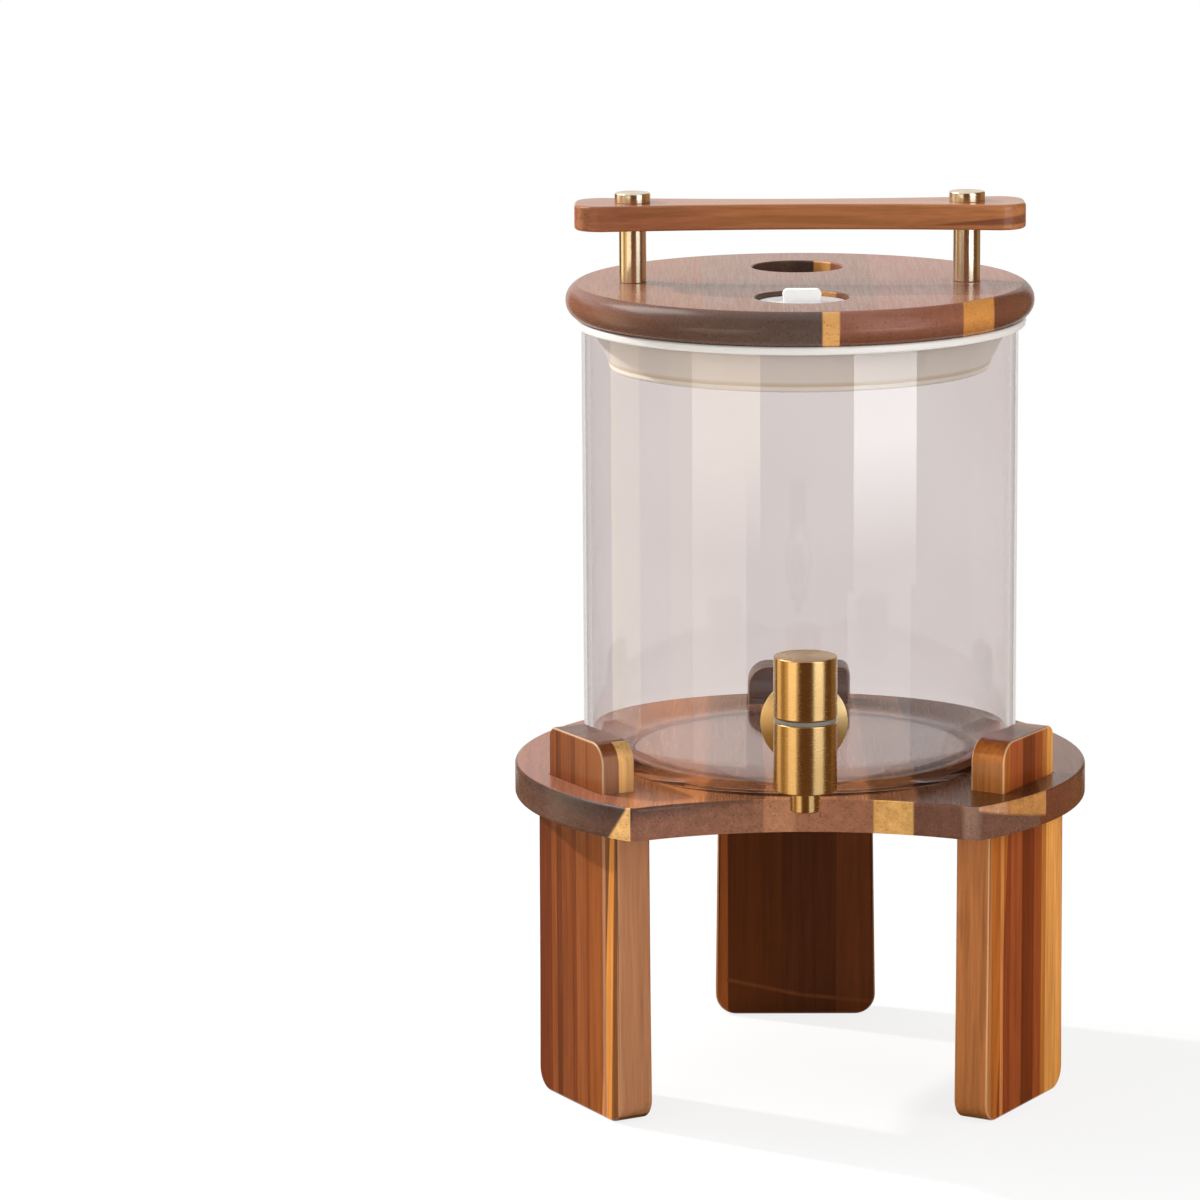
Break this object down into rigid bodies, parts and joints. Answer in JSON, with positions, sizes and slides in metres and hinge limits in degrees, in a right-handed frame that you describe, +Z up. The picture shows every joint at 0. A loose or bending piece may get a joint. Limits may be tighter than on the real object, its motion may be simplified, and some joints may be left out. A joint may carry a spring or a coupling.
{
  "type": "glass beverage dispenser",
  "caption": "Straight glass jar on a three-legged wooden stand, with a quarter-turn brass tap in front and a lift-off round wooden lid with a bar handle and a plugged filling hole.",
  "frame": {"origin": "middle of the dispenser's footprint on the surface that it stands on", "axes": "+Z up, front with the tap towards -Y, +X to the right seen from the front"},
  "size_m": [0.238, 0.2478, 0.3732],
  "materials": {
    "acacia": "satin lacquer over edge-glued staves",
    "clear_glass": "clear, fire polished",
    "brass": "turned and brushed",
    "silicone": "matte, moulded",
    "grey_plastic": "matte, moulded",
    "black_rubber": "smooth",
    "steel": "plain"
  },
  "bodies": {
    "stand": {"stand_board": "acacia", "leg_front_left": "acacia", "leg_front_right": "acacia", "leg_rear": "acacia"},
    "jar": {"glass_jar": "clear_glass", "tap_body": "brass", "tap_nozzle": "brass", "bonnet_nut": "brass", "glide_ring": "grey_plastic", "escutcheon": "brass", "outer_washer": "silicone", "inner_washer": "silicone", "shank_nut": "brass"},
    "knob": {"tap_knob": "brass", "valve_core": "brass", "core_orings": "black_rubber", "knob_set_screw": "steel"},
    "lid": {"lid_board": "acacia", "lid_boss": "acacia", "lid_seal": "silicone", "boss_screws": "steel", "lid_handle": "acacia", "handle_post_left": "brass", "handle_post_right": "brass", "handle_cap_left": "brass", "handle_cap_right": "brass", "post_screws": "steel"},
    "plug": {"hole_plug": "silicone"}
  },
  "joints": [
    {"name": "jar_lift", "type": "slide", "parent": "stand", "child": "jar", "axis": [0, 0, 1], "range_m": [0, 0.08]},
    {"name": "knob_turn", "type": "hinge", "parent": "jar", "child": "knob", "pos_m": [0, -0.11115, 0.19], "axis": [0, 0, 1], "range_deg": [0, 90]},
    {"name": "lid_lift", "type": "slide", "parent": "jar", "child": "lid", "axis": [0, 0, 1], "range_m": [0, 0.12]},
    {"name": "plug_lift", "type": "slide", "parent": "lid", "child": "plug", "axis": [0, 0, 1], "range_m": [0, 0.05]}
  ]
}
